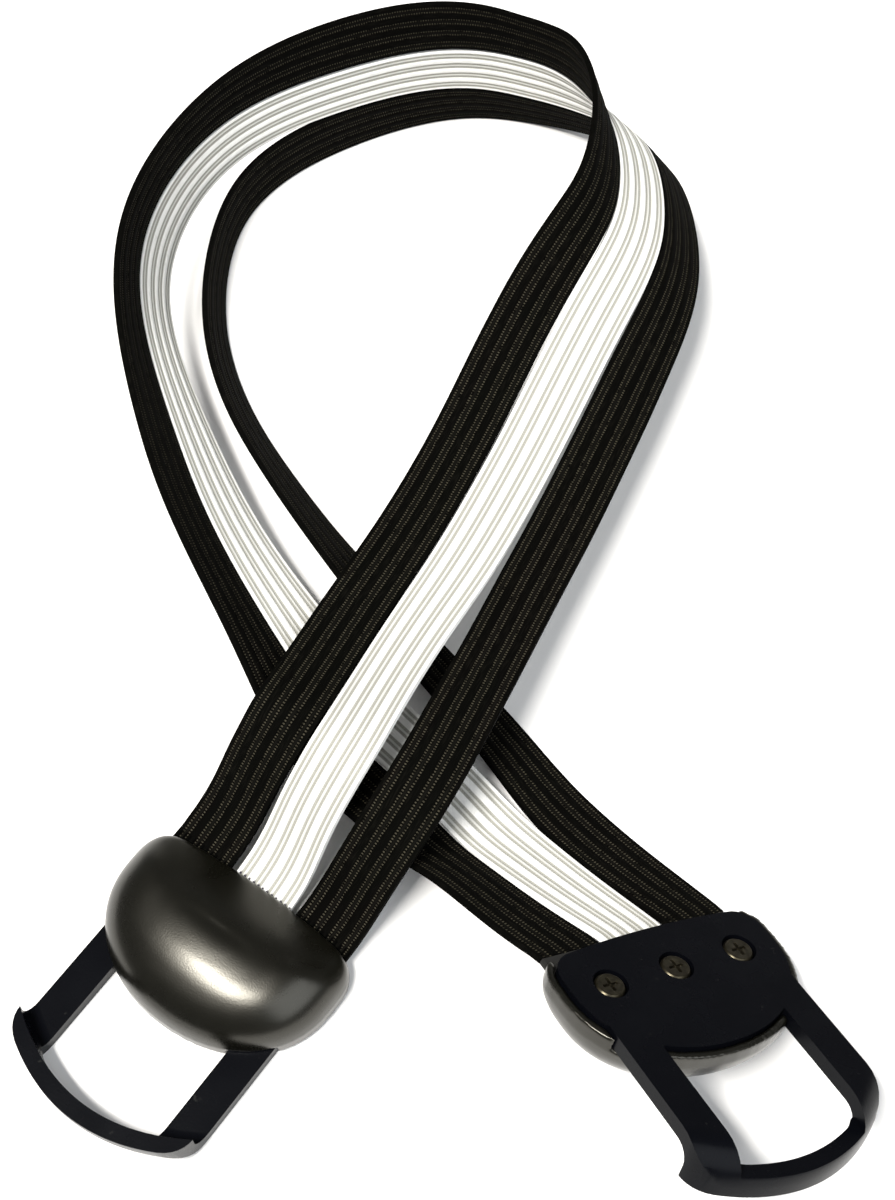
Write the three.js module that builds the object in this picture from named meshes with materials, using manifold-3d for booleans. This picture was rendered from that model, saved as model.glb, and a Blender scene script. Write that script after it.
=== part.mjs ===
import * as THREE from 'three';
import { mergeVertices } from 'three/addons/utils/BufferGeometryUtils.js';
import Module from 'manifold-3d';

const wasm = await Module();
wasm.setup();

// A flat elastic strap of three bands with a clamped hook at each end, lying in a loose loop.
// Millimetres, +Z up. Each end is drawn in a frame of its own: X across the bands,
// Y from the screws to the hook, Z from the hook plate's outer face into the cover.

// clearances and cuts
const GAP = 0.3;
const OVERRUN = 1;

// bands
const BAND_W = 18;
const BAND_T = 2;
const BAND_CORNER = 0.5;
const BAND_PITCH = 20;
const BAND_LEVEL = 5.8;
const BAND_TAIL = 8;
const BAND_HOLE_R = 2.5;
const BAND_MEET = 15.6;
const FREE_GAP = 0.8;
const CLOSE_OVER = 45;
const CLAMPED_RUN = 24;
const FLOOR_GAP = 0.05;
const STEPS_PER_STATION = 2;

// hook plate
const PLATE_T = 4;
const ARM_OUT = 28;
const ARM_W = 9.2;
const ARM_CORNER = 5;
const HOOK_REACH = 50;
const HOOK_BOW = 9;
const HOOK_HEIGHT = 12;
const BEND_R = 9;
const BAR_T = 4.5;
const BAR_LOW = 6;
const WINDOW_CORNER = 3.5;
const RIB_W = 1.1;
const RIB_RISE = 0.5;
const RIB_HALF = 27.5;
const RIB_PLACES = [-10.6, -7, 6];
const ARC_STEPS = 6;
const BOW_STEPS = 22;

// cover
const COVER_HALF = 33.5;
const COVER_BACK = 14;
const COVER_FRONT = 27;
const COVER_CORNER = 9;
const COVER_BOW = 1.2;
const COVER_WALL = 2;
const RIM_Z = 1;
const RIDGE_Z = 18.5;
const RIDGE_HALF = 16;
const RIDGE_Y = 2;
const RIDGE_DROP = 1.2;
const SHOULDER_Z = 5;
const LIP_Z = 8.8;
const SHOULDER_WALL = 1;
const FRONT_POWER = 2.1;
const DOME_POWER = 2.2;
const PANEL_POWER = 1.25;
const DOME_SHARES = [0.985, 0.94, 0.86, 0.74, 0.58, 0.4, 0.2, 0.04];
const EDGE_STEPS = 10;
const CORNER_STEPS = 6;
const FRONT_STEPS = 30;
const SLOT_HALF = 29.6;
const SLOT_TOP = 7.4;
const SLOT_DEPTH = 4.6;
const BOSS_R = 3.5;
const BOSS_Z = 7.1;
const PILOT_TOP = 12.8;
const CLAMP_RIB_Y = -8.6;
const CLAMP_RIB_W = 1.2;
const CLAMP_RIB_HALF = 28;

// screws
const HEAD_R = 3.9;
const HEAD_Z = 0.3;
const HEAD_TOP = 2;
const HEAD_EDGE = 0.5;
const SHANK_R = 1.8;
const SHANK_END = 12.4;
const SHANK_POINT = 1.2;
const SHANK_HOLE_R = 2.1;
const SINK_R = 4.5;
const SINK_Z = 2.3;
const RECESS_L = 4.2;
const RECESS_W = 0.9;
const RECESS_Z = 1.3;
const ROUND_SEGMENTS = 24;

// where the two ends lie
const END_A = [-62.5, -15, 0];
const END_B = [37, 39.7, 24.25];
const END_B_TURN = 66;
const END_B_PITCH = -16;
const END_B_ROLL = 24;

// Route of black band 2's outer edge, from end A's middle screw: x, y, z, then how far over
// black band 2, the white band and black band 1 lean (0 flat, 90 on edge, 180 flat the other
// way up), then how far the white band steps sideways from black band 2, and last, where the
// strap enters end B at a slant, how far its sections are skewed.
const ROUTE = [
  [29.4, 22.2, 9, 0, 0, 0.5, -0.8],
  [30.6, 32.2, 19, 1, -4, 3.5, -3.2],
  [31.6, 45.2, 27.3, 5, -7.5, 5.5, -4],
  [30.6, 61, 30.6, 9, -10.9, 6.9, -4.1],
  [26.5, 81.6, 28.2, 1.8, -13.7, 3.2, -4.5],
  [22.4, 102.3, 25.8, -1.1, -9.7, 1.9, -3.6],
  [18.2, 123.1, 24.4, -0.4, -3.5, -0.5, -1.1],
  [14.5, 144, 23.5, 2.1, 0.9, -2.9, -0.6],
  [10.1, 165.4, 22.9, 7.1, 4.5, -0.6, 0],
  [5.3, 187.5, 22.8, 16.1, 10.4, 9.6, 0],
  [0.4, 207.5, 23, 27, 17.9, 22.3, 0],
  [-4.5, 225.9, 23.3, 38.2, 26.3, 35.9, 0],
  [-11.5, 242.8, 23.8, 47.3, 34.5, 48.8, 0],
  [-22.8, 258.8, 23.7, 53, 39.8, 61.1, 0],
  [-37.4, 274.4, 21.3, 55.6, 43.7, 74.1, 0],
  [-52.5, 284.7, 14.7, 54.9, 54.7, 84.3, 0],
  [-68.5, 290.6, 8.4, 57.8, 69.9, 84.3, 0],
  [-85.8, 291.4, 3.4, 64, 80, 83.1, 0],
  [-103.5, 287.6, 0.5, 68.8, 83.2, 84, 0],
  [-121.8, 278.3, 0, 74.5, 82.7, 88.7, 0],
  [-136.4, 261.7, 0.1, 80.6, 84.6, 94.2, 0],
  [-147.4, 241.6, 0.2, 85.3, 86, 96.1, 0],
  [-155, 220, 0.2, 89.6, 87.9, 91.3, 1.5],
  [-155.7, 197.3, 0.1, 92.3, 93.1, 84.9, 5.2],
  [-146.5, 176, 0, 96.3, 101.6, 85.9, 9.8],
  [-132.2, 157.2, 0.1, 103.4, 110.1, 94.9, 11.4],
  [-115.6, 143, 0.3, 112.1, 118.8, 106, 8.8],
  [-96.7, 131.8, 0.8, 119.1, 126.4, 115.3, 7.2],
  [-75.8, 122.9, 1.7, 123.7, 133.6, 121.5, 8.8],
  [-51.5, 114, 2.4, 128.2, 144.4, 125.7, 10.4],
  [-24.9, 107.8, 1.2, 139.1, 161.6, 136.9, 9.1],
  [-1.7, 102.3, 0, 146.6, 173.6, 161.8, 7.7],
  [22.2, 96.3, 0.1, 150.4, 175.7, 168.7, 4.9, 6.2],
  [43.8, 89.5, 0, 154.4, 174.6, 161, 1.9, 12.9],
  [59.1, 86.4, 1, 160, 169.5, 148.4, 0, 18.4],
  [75.6, 83.8, 1.9, 158.3, 160.3, 144.9, -0.7, 20.5],
];
const [COL_X, COL_Y, COL_Z] = [0, 1, 2];
const [COL_LEAN_2, COL_LEAN_W, COL_LEAN_1] = [3, 4, 5];
const [COL_STEP, COL_SKEW] = [6, 7];
const ROW_LENGTH = 8;

// solids from triangles

function rad(degrees) {
  return THREE.MathUtils.degToRad(degrees);
}

function solidOf(geometry) {
  const bare = geometry.clone();
  for (const name of Object.keys(bare.attributes)) {
    if (name !== 'position') {
      bare.deleteAttribute(name);
    }
  }
  const merged = mergeVertices(bare);
  const index = merged.index.array;
  const kept = [];
  for (let i = 0; i < index.length; i += 3) {
    const [a, b, c] = [index[i], index[i + 1], index[i + 2]];
    if (a !== b && b !== c && c !== a) {
      kept.push(a, b, c);
    }
  }
  const position = merged.attributes.position.array;
  return new wasm.Manifold(new wasm.Mesh({
    numProp: 3,
    vertProperties: new Float32Array(position),
    triVerts: new Uint32Array(kept),
  }));
}

function geometryOf(solid) {
  const mesh = solid.getMesh();
  const geometry = new THREE.BufferGeometry();
  const flat = new Float32Array(mesh.vertProperties);
  geometry.setAttribute('position', new THREE.BufferAttribute(flat, mesh.numProp));
  geometry.setIndex(new THREE.BufferAttribute(new Uint32Array(mesh.triVerts), 1));
  geometry.computeVertexNormals();
  return geometry;
}

// A closed body through rings of equal count. Each ring is a list of Vector3; the end caps are
// cut into triangles as flat outlines seen by the function `flatten`.
function loft(rings, flatten) {
  const count = rings[0].length;
  const points = rings.flat();
  const index = [];
  for (let r = 0; r + 1 < rings.length; r += 1) {
    for (let k = 0; k < count; k += 1) {
      const next = (k + 1) % count;
      const a = r * count + k;
      const b = r * count + next;
      const c = a + count;
      const d = b + count;
      index.push(a, b, d, a, d, c);
    }
  }
  const capStarts = [0, (rings.length - 1) * count];
  rings.filter((_, r) => r === 0 || r === rings.length - 1).forEach((ring, which) => {
    const faces = THREE.ShapeUtils.triangulateShape(ring.map(flatten), []);
    const start = capStarts[which];
    const clockwise = THREE.ShapeUtils.area(ring.map(flatten)) < 0;
    for (const face of faces) {
      const ordered = [face[0], face[1], face[2]];
      const [a, b, c] = ordered.map((k) => k + start);
      const p = ring.map(flatten);
      const turned = THREE.ShapeUtils.area([p[face[0]], p[face[1]], p[face[2]]]) < 0;
      const follows = turned === clockwise;
      const forward = which === 0 ? !follows : follows;
      index.push(...(forward ? [a, b, c] : [a, c, b]));
    }
  });
  const geometry = new THREE.BufferGeometry();
  geometry.setFromPoints(points);
  let volume = 0;
  for (let i = 0; i < index.length; i += 3) {
    const [a, b, c] = [points[index[i]], points[index[i + 1]], points[index[i + 2]]];
    volume += a.dot(new THREE.Vector3().crossVectors(b, c));
  }
  if (volume < 0) {
    index.reverse();
  }
  geometry.setIndex(index);
  return geometry;
}

function extrudedPlan(points, z0, z1) {
  const geometry = new THREE.ExtrudeGeometry(new THREE.Shape(points), {
    depth: z1 - z0,
    bevelEnabled: false,
  });
  geometry.translate(0, 0, z0);
  return solidOf(geometry);
}

function block(x0, x1, y0, y1, z0, z1) {
  const geometry = new THREE.BoxGeometry(x1 - x0, y1 - y0, z1 - z0);
  geometry.translate((x0 + x1) / 2, (y0 + y1) / 2, (z0 + z1) / 2);
  return solidOf(geometry);
}

function post(radius, x, y, z0, z1) {
  const geometry = new THREE.CylinderGeometry(radius, radius, z1 - z0, ROUND_SEGMENTS);
  geometry.rotateX(Math.PI / 2);
  geometry.translate(x, y, (z0 + z1) / 2);
  return solidOf(geometry);
}

function meshOf(name, solid, color, roughness, metalness) {
  const material = new THREE.MeshStandardMaterial({ color, roughness, metalness });
  const mesh = new THREE.Mesh(geometryOf(solid), material);
  mesh.name = name;
  return mesh;
}

const BAND_PLACES = [-BAND_PITCH, 0, BAND_PITCH];

// cover

// The cover's plan, drawn inwards by `inset`: a bowed edge where the bands come out, round
// corners, and a broad curve towards the hook.
function coverPlan(inset) {
  const half = COVER_HALF - inset;
  const back = COVER_BACK - inset;
  const front = COVER_FRONT - inset;
  const corner = COVER_CORNER - inset;
  const flat = half - corner;
  const points = [];
  for (let k = 0; k <= EDGE_STEPS; k += 1) {
    const x = flat * (2 * k / EDGE_STEPS - 1);
    points.push(new THREE.Vector2(x, -back - COVER_BOW * (1 - (x / flat) ** 2)));
  }
  for (let k = 1; k <= CORNER_STEPS; k += 1) {
    const a = Math.PI / 2 * (k / CORNER_STEPS - 1);
    points.push(new THREE.Vector2(flat + corner * Math.cos(a), corner - back + corner * Math.sin(a)));
  }
  for (let k = 0; k <= FRONT_STEPS; k += 1) {
    const a = Math.PI * k / FRONT_STEPS;
    const c = Math.cos(a);
    const s = Math.abs(Math.sin(a));
    const x = half * Math.sign(c) * Math.abs(c) ** (2 / FRONT_POWER);
    points.push(new THREE.Vector2(x, front * s ** (2 / FRONT_POWER)));
  }
  for (let k = 0; k < CORNER_STEPS; k += 1) {
    const a = Math.PI * (1 + k / CORNER_STEPS / 2);
    points.push(new THREE.Vector2(corner * Math.cos(a) - flat, corner - back + corner * Math.sin(a)));
  }
  return points;
}

// The domed body over that plan. Towards the hook and the sides it is round; over the bands it
// is a flat sloping panel that ends in an upright lip.
function domeBody(inset, floorZ, shoulderDrop) {
  const plan = coverPlan(inset);
  const flat = COVER_HALF - COVER_CORNER;
  const sideY = COVER_CORNER - COVER_BACK;
  const rings = [plan.map((p) => new THREE.Vector3(p.x, p.y, floorZ))];
  for (const share of [1, ...DOME_SHARES]) {
    rings.push(plan.map((p) => {
      const panel = THREE.MathUtils.smoothstep(-p.y, -sideY, COVER_BACK - inset);
      const ridgeX = RIDGE_HALF * THREE.MathUtils.clamp(p.x / flat, -1, 1);
      const edgeZ = THREE.MathUtils.lerp(SHOULDER_Z, LIP_Z, panel) - shoulderDrop;
      const ridgeZ = RIDGE_Z - inset - RIDGE_DROP * (ridgeX / RIDGE_HALF) ** 2;
      const round = Math.sqrt(1 - share ** DOME_POWER);
      const slope = 1 - share ** PANEL_POWER;
      const rise = THREE.MathUtils.lerp(round, slope, panel);
      return new THREE.Vector3(
        ridgeX + (p.x - ridgeX) * share,
        RIDGE_Y + (p.y - RIDGE_Y) * share,
        edgeZ + (ridgeZ - edgeZ) * rise,
      );
    }));
  }
  return solidOf(loft(rings, (p) => new THREE.Vector2(p.x, p.y)));
}

function coverSolid() {
  const outer = domeBody(0, RIM_Z, 0);
  const cavity = domeBody(COVER_WALL, RIM_Z - OVERRUN, SHOULDER_WALL);
  let shell = outer.subtract(cavity);
  let inside = block(-CLAMP_RIB_HALF, CLAMP_RIB_HALF, CLAMP_RIB_Y - CLAMP_RIB_W / 2,
    CLAMP_RIB_Y + CLAMP_RIB_W / 2, BOSS_Z, RIDGE_Z);
  for (const x of BAND_PLACES) {
    inside = inside.add(post(BOSS_R, x, 0, BOSS_Z, RIDGE_Z));
  }
  shell = shell.add(inside.intersect(outer));
  for (const x of BAND_PLACES) {
    shell = shell.subtract(post(SHANK_HOLE_R, x, 0, BOSS_Z - OVERRUN, PILOT_TOP));
  }
  const slotStart = -COVER_BACK - COVER_BOW - OVERRUN;
  shell = shell.subtract(block(-SLOT_HALF, SLOT_HALF, slotStart, SLOT_DEPTH - COVER_BACK,
    RIM_Z - OVERRUN, SLOT_TOP));
  for (const side of [-1, 1]) {
    const sides = [(ARM_OUT - ARM_W - GAP) * side, (ARM_OUT + GAP) * side];
    const [near, far] = [Math.min(...sides), Math.max(...sides)];
    shell = shell.subtract(block(near, far, COVER_CORNER, COVER_FRONT + OVERRUN,
      RIM_Z - OVERRUN, PLATE_T + GAP));
  }
  return shell;
}

// hook plate

function bowY(x, back) {
  return HOOK_REACH + HOOK_BOW * (1 - (x / ARM_OUT) ** 2) - back;
}

// One side view of the hook at x: flat plate, bend, upright bar.
function hookSection(x) {
  const tip = bowY(x, 0);
  const inner = BEND_R - BAR_T;
  const turn = tip - BEND_R;
  const points = [new THREE.Vector3(x, 0, 0)];
  for (let k = 0; k <= ARC_STEPS; k += 1) {
    const a = Math.PI / 2 * (k / ARC_STEPS - 1);
    points.push(new THREE.Vector3(x, turn + BEND_R * Math.cos(a), BEND_R + BEND_R * Math.sin(a)));
  }
  points.push(new THREE.Vector3(x, tip, HOOK_HEIGHT));
  points.push(new THREE.Vector3(x, tip - BAR_T, HOOK_HEIGHT));
  for (let k = 0; k <= ARC_STEPS; k += 1) {
    const a = -Math.PI / 2 * (k / ARC_STEPS);
    points.push(new THREE.Vector3(
      x, turn + inner * Math.cos(a), PLATE_T + inner + inner * Math.sin(a),
    ));
  }
  points.push(new THREE.Vector3(x, 0, PLATE_T));
  return points;
}

// Half of a plan edge that follows the bar's bow and rounds into a straight side.
function bowedPlan(half, corner, back, overrun) {
  const start = new THREE.Vector2(half, bowY(half, back) - corner);
  const end = new THREE.Vector2(half - corner, bowY(half - corner, back));
  const knee = new THREE.Vector2(half, bowY(half, back));
  const turn = new THREE.QuadraticBezierCurve(start, knee, end).getPoints(ARC_STEPS);
  const right = [...turn];
  for (let k = 1; k < BOW_STEPS; k += 1) {
    const x = (half - corner) * (1 - k / BOW_STEPS);
    right.push(new THREE.Vector2(x, bowY(x, back) + overrun));
  }
  const left = right.map((p) => new THREE.Vector2(-p.x, p.y)).reverse();
  const middle = new THREE.Vector2(0, bowY(0, back) + overrun);
  return [new THREE.Vector2(-half, 0), new THREE.Vector2(half, 0), ...right, middle, ...left];
}

function plateSolid() {
  const rings = [];
  for (let k = 0; k <= 2 * BOW_STEPS; k += 1) {
    rings.push(hookSection((ARM_OUT + OVERRUN) * (k / BOW_STEPS - 1)));
  }
  let hook = solidOf(loft(rings, (p) => new THREE.Vector2(p.y, p.z)));
  hook = hook.intersect(extrudedPlan(bowedPlan(ARM_OUT, ARM_CORNER, 0, OVERRUN),
    -OVERRUN, HOOK_HEIGHT + OVERRUN));
  const open = ARM_OUT - ARM_W;
  hook = hook.subtract(extrudedPlan(bowedPlan(open, WINDOW_CORNER, BAR_T, 0),
    -OVERRUN, HOOK_HEIGHT + OVERRUN));
  hook = hook.subtract(block(-open, open, 0, bowY(0, 0) + OVERRUN, -OVERRUN, BAR_LOW));
  let plate = hook.add(extrudedPlan(coverPlan(COVER_WALL + GAP), 0, PLATE_T));
  for (const y of RIB_PLACES) {
    plate = plate.add(block(-RIB_HALF, RIB_HALF, y - RIB_W / 2, y + RIB_W / 2,
      PLATE_T - OVERRUN, PLATE_T + RIB_RISE));
  }
  for (const x of BAND_PLACES) {
    plate = plate.subtract(post(SHANK_HOLE_R, x, 0, -OVERRUN, PLATE_T + OVERRUN));
    plate = plate.subtract(post(SINK_R, x, 0, -OVERRUN, SINK_Z));
  }
  return plate;
}

// screw

function screwSolid() {
  const outline = [
    new THREE.Vector2(0, HEAD_Z),
    new THREE.Vector2(HEAD_R - HEAD_EDGE, HEAD_Z),
    new THREE.Vector2(HEAD_R, HEAD_Z + HEAD_EDGE),
    new THREE.Vector2(HEAD_R, HEAD_TOP),
    new THREE.Vector2(SHANK_R, HEAD_TOP),
    new THREE.Vector2(SHANK_R, SHANK_END - SHANK_POINT),
    new THREE.Vector2(SHANK_R / 2, SHANK_END),
    new THREE.Vector2(0, SHANK_END),
  ];
  const geometry = new THREE.LatheGeometry(outline, ROUND_SEGMENTS);
  geometry.rotateX(Math.PI / 2);
  let screw = solidOf(geometry);
  if (screw.volume() < 0) {
    throw new Error('the screw is inside out');
  }
  const [long, wide] = [RECESS_L / 2, RECESS_W / 2];
  screw = screw.subtract(block(-long, long, -wide, wide, HEAD_Z - OVERRUN, RECESS_Z));
  return screw.subtract(block(-wide, wide, -long, long, HEAD_Z - OVERRUN, RECESS_Z));
}

// bands

// Flat section with clipped corners, spread between an outer and an inner edge point.
function bandRing(outer, inner, along) {
  const across = new THREE.Vector3().subVectors(outer, inner).normalize();
  const face = new THREE.Vector3().crossVectors(along, across).normalize();
  const centre = new THREE.Vector3().addVectors(outer, inner).multiplyScalar(1 / 2);
  const [w, t, c] = [outer.distanceTo(inner) / 2, BAND_T / 2, BAND_CORNER];
  const corners = [
    [w - c, -t], [w, c - t], [w, t - c], [w - c, t],
    [c - w, t], [-w, t - c], [-w, c - t], [c - w, -t],
  ];
  return corners.map(([u, v]) => centre.clone().addScaledVector(across, u).addScaledVector(face, v));
}

// Smooth curve through the stations, with its direction, in even steps between them.
function smoothRun(stations) {
  const run = [];
  const last = stations.length - 2;
  for (let i = 1; i < last; i += 1) {
    const [a, b, c, d] = [stations[i - 1], stations[i], stations[i + 1], stations[i + 2]];
    const steps = i === last - 1 ? STEPS_PER_STATION + 1 : STEPS_PER_STATION;
    for (let k = 0; k < steps; k += 1) {
      const t = k / STEPS_PER_STATION;
      const value = b.map((_, j) => (2 * b[j] + (c[j] - a[j]) * t
        + (2 * a[j] - 5 * b[j] + 4 * c[j] - d[j]) * t * t
        + (3 * b[j] - 3 * c[j] + d[j] - a[j]) * t * t * t) / 2);
      const slope = b.map((_, j) => ((c[j] - a[j]) + 2 * (2 * a[j] - 5 * b[j] + 4 * c[j] - d[j]) * t
        + 3 * (3 * b[j] - 3 * c[j] + d[j] - a[j]) * t * t) / 2);
      run.push({ value, slope });
    }
  }
  return run;
}

const turnB = new THREE.Quaternion().setFromEuler(new THREE.Euler(
  rad(END_B_PITCH), rad(END_B_ROLL), rad(END_B_TURN), 'ZXY',
)).multiply(new THREE.Quaternion().setFromAxisAngle(new THREE.Vector3(1, 0, 0), Math.PI));
const turnA = new THREE.Quaternion().setFromAxisAngle(new THREE.Vector3(0, 0, 1), Math.PI);

function fromEnd(turn, place, x, y, z) {
  return new THREE.Vector3(x, y, z).applyQuaternion(turn).add(new THREE.Vector3(...place));
}

// How far over a band held in this end leans.
function leanOf(turn, heading) {
  const along = new THREE.Vector3(0, heading, 0).applyQuaternion(turn);
  const across = new THREE.Vector3(-heading, 0, 0).applyQuaternion(turn).negate();
  const level = new THREE.Vector3(along.y, -along.x, 0).normalize();
  const up = new THREE.Vector3().crossVectors(level, along);
  return THREE.MathUtils.radToDeg(Math.atan2(-across.dot(up), across.dot(level)));
}

function allStations() {
  const edge = BAND_PITCH + BAND_W / 2;
  const meet = BAND_MEET + GAP;
  const straight = COVER_BACK - BAND_TAIL;
  const stations = [];
  for (const y of [BAND_TAIL + straight, BAND_TAIL, straight - meet, -meet]) {
    stations.push([...fromEnd(turnA, END_A, -edge, y, BAND_LEVEL)]);
  }
  for (const row of ROUTE) {
    stations.push([row[COL_X] + END_A[0], row[COL_Y] + END_A[1], ...row.slice(COL_Z)]);
  }
  const lean = leanOf(turnB, 1);
  const slant = ROUTE[ROUTE.length - 1][COL_SKEW];
  for (const y of [-meet, BAND_PITCH - meet]) {
    stations.push([...fromEnd(turnB, END_B, edge, y, BAND_LEVEL), lean, lean, lean, 0, slant]);
  }
  return stations.map((row) => [...row, ...new Array(ROW_LENGTH - row.length).fill(0)]);
}

function bandEdges() {
  const run = smoothRun(allStations());
  run[run.length - 1].slope = [...new THREE.Vector3(0, 1, 0).applyQuaternion(turnB)];
  const mouthAcross = new THREE.Vector3(1, 0, 0).applyQuaternion(turnB);
  const points = run.map(({ value }) => new THREE.Vector3(...value.slice(COL_X, COL_Z + 1)));
  const lengths = [0];
  for (let i = 1; i < points.length; i += 1) {
    lengths.push(lengths[i - 1] + points[i].distanceTo(points[i - 1]));
  }
  const total = lengths[lengths.length - 1];
  return run.map(({ value, slope }, i) => {
    const along = new THREE.Vector3(slope[COL_X], slope[COL_Y], slope[COL_Z]).normalize();
    const level = new THREE.Vector3(along.y, -along.x, 0).normalize();
    const up = new THREE.Vector3().crossVectors(level, along);
    const skew = Math.tan(rad(value[COL_SKEW]));
    const turnedIn = Math.max(0, 1 + (i + 1 - run.length) / STEPS_PER_STATION);
    const over = (column) => {
      const a = rad(value[column]);
      return level.clone().multiplyScalar(Math.cos(a)).addScaledVector(up, -Math.sin(a))
        .addScaledVector(along, skew).lerp(mouthAcross, turnedIn);
    };
    const near = Math.min(lengths[i] - CLAMPED_RUN, total - lengths[i]);
    const loose = THREE.MathUtils.smoothstep(near, 0, CLOSE_OVER);
    const gap = THREE.MathUtils.lerp(BAND_PITCH - BAND_W, FREE_GAP, loose);
    const [w2, ww, w1] = [COL_LEAN_2, COL_LEAN_W, COL_LEAN_1].map(over);
    const outer2 = points[i].clone();
    const lift = BAND_T / 2 * Math.abs(Math.cos(rad(value[COL_LEAN_2]))) + FLOOR_GAP;
    outer2.z = Math.max(outer2.z, lift);
    const inner2 = outer2.clone().addScaledVector(w2, -BAND_W);
    const outerW = inner2.clone().addScaledVector(w2, -gap / 2).addScaledVector(ww, -gap / 2)
      .addScaledVector(level, value[COL_STEP]);
    const innerW = outerW.clone().addScaledVector(ww, -BAND_W);
    const outer1 = innerW.clone().addScaledVector(ww, -gap / 2).addScaledVector(w1, -gap / 2);
    const inner1 = outer1.clone().addScaledVector(w1, -BAND_W);
    return { along, black2: [outer2, inner2], white: [outerW, innerW], black1: [outer1, inner1] };
  });
}

const EDGES = bandEdges();

function freeBand(key, placeInA) {
  const rings = EDGES.map((row) => bandRing(row[key][0], row[key][1], row.along));
  const flat = (ring) => {
    const u = new THREE.Vector3().subVectors(ring[0], ring[4]).normalize();
    const v = new THREE.Vector3().subVectors(ring[3], ring[0]).normalize();
    return (p) => new THREE.Vector2(p.dot(u), p.dot(v));
  };
  const views = new Map();
  for (const ring of [rings[0], rings[rings.length - 1]]) {
    const view = flat(ring);
    ring.forEach((p) => views.set(p, view));
  }
  const body = solidOf(loft(rings, (p) => views.get(p)(p)));
  const hole = fromEnd(turnA, END_A, placeInA, 0, 0);
  return body.subtract(post(BAND_HOLE_R, hole.x, hole.y, BAND_LEVEL - BAND_T, BAND_LEVEL + BAND_T));
}

// The clamped stretch inside end B, which travels with that end.
function heldBand(x) {
  const along = new THREE.Vector3(0, 1, 0);
  const rings = [-BAND_MEET, BAND_TAIL].map((y) => bandRing(
    new THREE.Vector3(x + BAND_W / 2, y, BAND_LEVEL),
    new THREE.Vector3(x - BAND_W / 2, y, BAND_LEVEL),
    along,
  ));
  const body = solidOf(loft(rings, (p) => new THREE.Vector2(p.x, p.z)));
  return body.subtract(post(BAND_HOLE_R, x, 0, BAND_LEVEL - BAND_T, BAND_LEVEL + BAND_T));
}

// assembly

const BLACK_WEBBING = 0x1b1c1f;
const WHITE_WEBBING = 0xe6e6e3;
const COVER_PLASTIC = 0x3b3833;
const PLATE_PLASTIC = 0x24262d;
const SCREW_STEEL = 0x55555a;

function endPieces(prefix) {
  const group = new THREE.Group();
  group.name = prefix;
  group.add(meshOf(`${prefix}_cover`, coverSolid(), COVER_PLASTIC, 0.45, 0));
  group.add(meshOf(`${prefix}_hook_plate`, plateSolid(), PLATE_PLASTIC, 0.6, 0));
  BAND_PLACES.forEach((x, i) => {
    const screw = meshOf(`${prefix}_screw_${i + 1}`, screwSolid(), SCREW_STEEL, 0.4, 0.9);
    screw.position.x = x;
    group.add(screw);
  });
  return group;
}

const endA = endPieces('end_a');
endA.position.set(...END_A);
endA.quaternion.copy(turnA);

const endB = endPieces('end_b');
endB.add(meshOf('band_black_1_end', heldBand(-BAND_PITCH), BLACK_WEBBING, 0.9, 0));
endB.add(meshOf('band_white_end', heldBand(0), WHITE_WEBBING, 0.9, 0));
endB.add(meshOf('band_black_2_end', heldBand(BAND_PITCH), BLACK_WEBBING, 0.9, 0));
endB.position.set(...END_B);
endB.quaternion.copy(turnB);

const strap = new THREE.Group();
strap.name = 'strap';
strap.add(endA, endB);

// the origin is under the middle of the two ends
strap.updateMatrixWorld(true);
const ends = new THREE.Box3().expandByObject(endA, true).expandByObject(endB, true);
const middle = ends.getCenter(new THREE.Vector3());
strap.position.set(-middle.x, -middle.y, -ends.min.z);

strap.add(meshOf('band_black_1', freeBand('black1', BAND_PITCH), BLACK_WEBBING, 0.9, 0));
strap.add(meshOf('band_white', freeBand('white', 0), WHITE_WEBBING, 0.9, 0));
strap.add(meshOf('band_black_2', freeBand('black2', -BAND_PITCH), BLACK_WEBBING, 0.9, 0));

const group = new THREE.Group();
group.add(strap);

export default group;
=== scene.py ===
# %% [markdown]
# # A flat elastic strap with a clamped hook at each end
#
# Three ribbed elastic bands lie side by side, black, white and black. At each end they go into
# a domed clamp, and a flat plate with an open hook closes the clamp from below with three
# screws. The strap lies in a loose loop and crosses over itself. The solid model comes in as a
# fixed frame, and this lesson dresses it: woven bands, satin mouldings, steel screws, light.

import bpy
import math
import numpy as np
from mathutils import Matrix, Vector


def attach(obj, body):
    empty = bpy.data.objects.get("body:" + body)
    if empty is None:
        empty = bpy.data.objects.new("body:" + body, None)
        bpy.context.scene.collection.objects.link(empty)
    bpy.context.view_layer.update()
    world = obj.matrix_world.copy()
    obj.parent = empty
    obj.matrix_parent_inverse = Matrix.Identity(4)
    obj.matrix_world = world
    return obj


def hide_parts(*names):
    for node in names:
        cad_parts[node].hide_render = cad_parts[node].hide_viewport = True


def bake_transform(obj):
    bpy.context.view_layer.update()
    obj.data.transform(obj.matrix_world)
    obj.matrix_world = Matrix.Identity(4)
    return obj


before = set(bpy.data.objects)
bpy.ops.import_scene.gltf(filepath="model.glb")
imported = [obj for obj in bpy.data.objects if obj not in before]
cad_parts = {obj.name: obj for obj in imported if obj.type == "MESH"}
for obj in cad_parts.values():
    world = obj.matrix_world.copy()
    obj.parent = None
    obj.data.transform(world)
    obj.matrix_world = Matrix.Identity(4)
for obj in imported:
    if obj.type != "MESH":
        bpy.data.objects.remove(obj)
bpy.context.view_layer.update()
print("CAD nodes:", sorted(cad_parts))

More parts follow.
